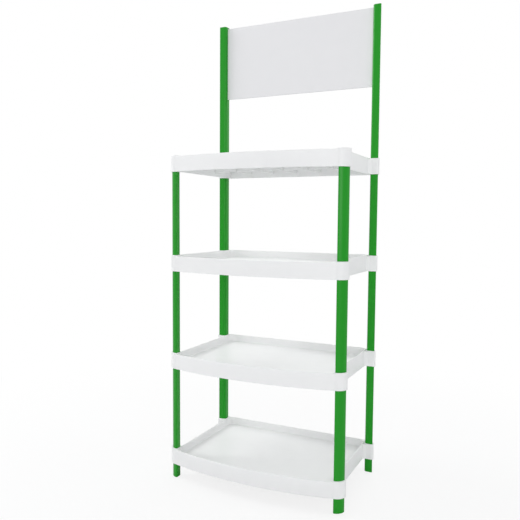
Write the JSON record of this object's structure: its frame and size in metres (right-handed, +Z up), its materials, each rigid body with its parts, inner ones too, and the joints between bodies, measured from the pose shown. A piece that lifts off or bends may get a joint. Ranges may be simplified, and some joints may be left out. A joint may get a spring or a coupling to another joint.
{
  "type": "tiered plastic display stand",
  "caption": "Free-standing tiered plastic display stand: bowed-front trays on hollow posts, with a blank header board between the tall rear uprights.",
  "frame": {"origin": "on the floor under the middle of the footprint", "axes": "+Z up, +X across the stand to its right side, -Y to the bowed fronts of the trays"},
  "size_m": [0.6, 0.392, 1.542],
  "materials": {
    "tray_white": "moulded white plastic with a fine satin texture",
    "post_green": "extruded deep green plastic with a soft gloss",
    "board_white": "plain white board with a satin face",
    "plug_black": "moulded black plastic"
  },
  "bodies": {
    "root": {"tray_1": "tray_white", "tray_2": "tray_white", "tray_3": "tray_white", "tray_4": "tray_white", "foot_front_left": "post_green", "foot_plug_front_left": "plug_black", "post_1_front_left": "post_green", "post_2_front_left": "post_green", "post_3_front_left": "post_green", "foot_front_right": "post_green", "foot_plug_front_right": "plug_black", "post_1_front_right": "post_green", "post_2_front_right": "post_green", "post_3_front_right": "post_green", "foot_back_left": "post_green", "foot_plug_back_left": "plug_black", "post_1_back_left": "post_green", "post_2_back_left": "post_green", "post_3_back_left": "post_green", "foot_back_right": "post_green", "foot_plug_back_right": "plug_black", "post_1_back_right": "post_green", "post_2_back_right": "post_green", "post_3_back_right": "post_green", "upright_back_left": "post_green", "header_cap_back_left": "post_green", "upright_back_right": "post_green", "header_cap_back_right": "post_green", "socket_cover_front_left": "tray_white", "socket_cover_front_right": "tray_white", "header_board": "board_white"}
  },
  "joints": []
}
